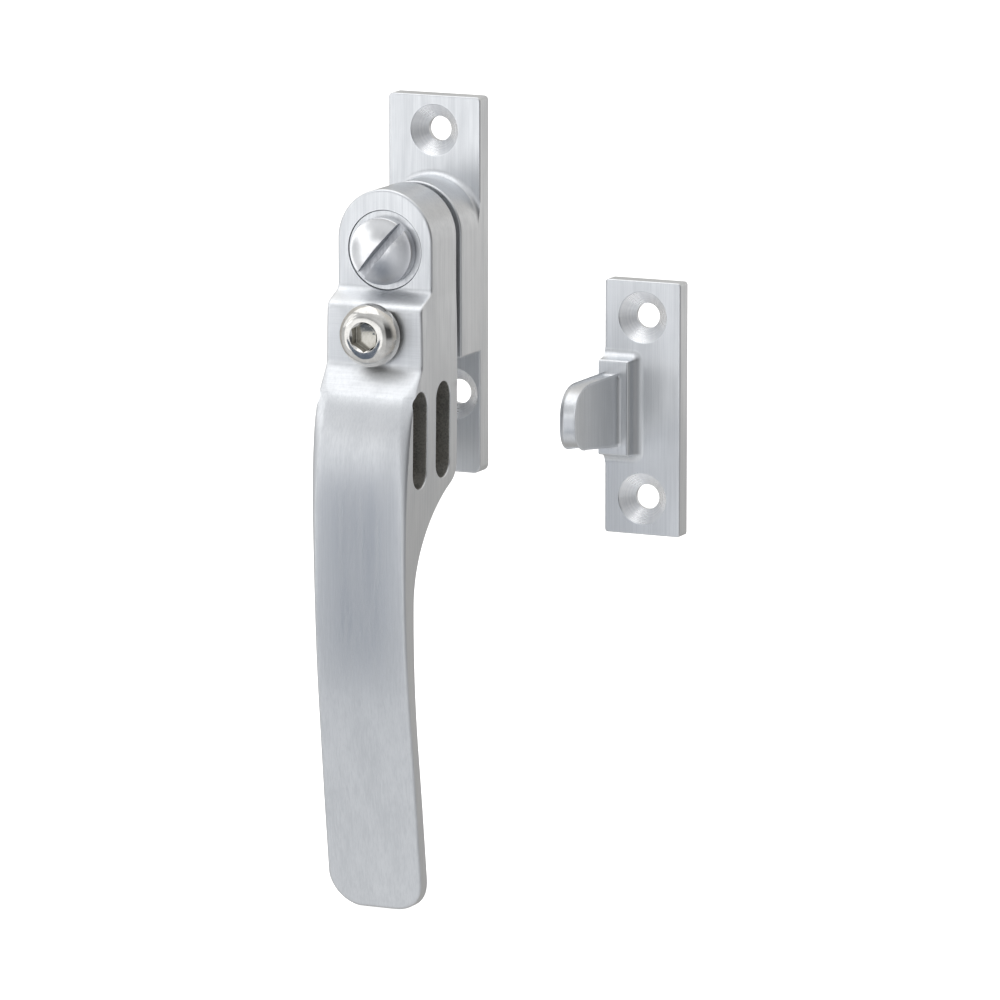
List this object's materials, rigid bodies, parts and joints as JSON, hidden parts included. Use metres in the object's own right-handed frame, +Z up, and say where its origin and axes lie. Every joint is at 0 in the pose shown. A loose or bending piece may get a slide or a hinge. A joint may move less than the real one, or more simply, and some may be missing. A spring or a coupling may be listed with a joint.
{
  "type": "casement window fastener",
  "caption": "Casement fastener: lever handle on a back plate's boss, with a lock screw and night-vent slots for the tongue of a separate hook plate.",
  "frame": {"origin": "the pivot axis at the back plate's rear face", "axes": "+Y along the pivot axis into the window frame, +Z up, +X from the fastener towards the hook plate; the user faces +Y"},
  "size_m": [0.0565, 0.0351, 0.1413],
  "materials": {
    "satin_steel": "satin, brushed along the length",
    "polished_steel": "polished",
    "spring_steel": "plain",
    "nylon": "natural"
  },
  "bodies": {
    "fixed": {"back_plate": "satin_steel", "pivot_screw": "satin_steel", "face_washer": "satin_steel", "spring_washer": "spring_steel", "thrust_washer": "spring_steel", "hook_plate": "satin_steel"},
    "handle": {"handle": "satin_steel", "pivot_bush": "nylon"},
    "lock_clip": {"lock_screw_clip": "spring_steel"},
    "lock_screw": {"lock_screw": "polished_steel"}
  },
  "joints": [
    {"name": "handle_swing", "type": "hinge", "parent": "fixed", "child": "handle", "pos_m": [0, 0, 0], "axis": [0, 1, 0], "range_deg": [0, 180]},
    {"name": "lock_screw_travel", "type": "slide", "parent": "handle", "child": "lock_clip", "axis": [0, 1, 0], "range_m": [0, 0.0008]},
    {"name": "lock_screw_turn", "type": "hinge", "parent": "lock_clip", "child": "lock_screw", "pos_m": [0, 0, -0.0141], "axis": [0, 1, 0], "range_deg": [0, 290]}
  ],
  "couplings": [
    {"joint": "lock_screw_turn", "follows": "lock_screw_travel", "rad_per_m": 6283.2}
  ]
}
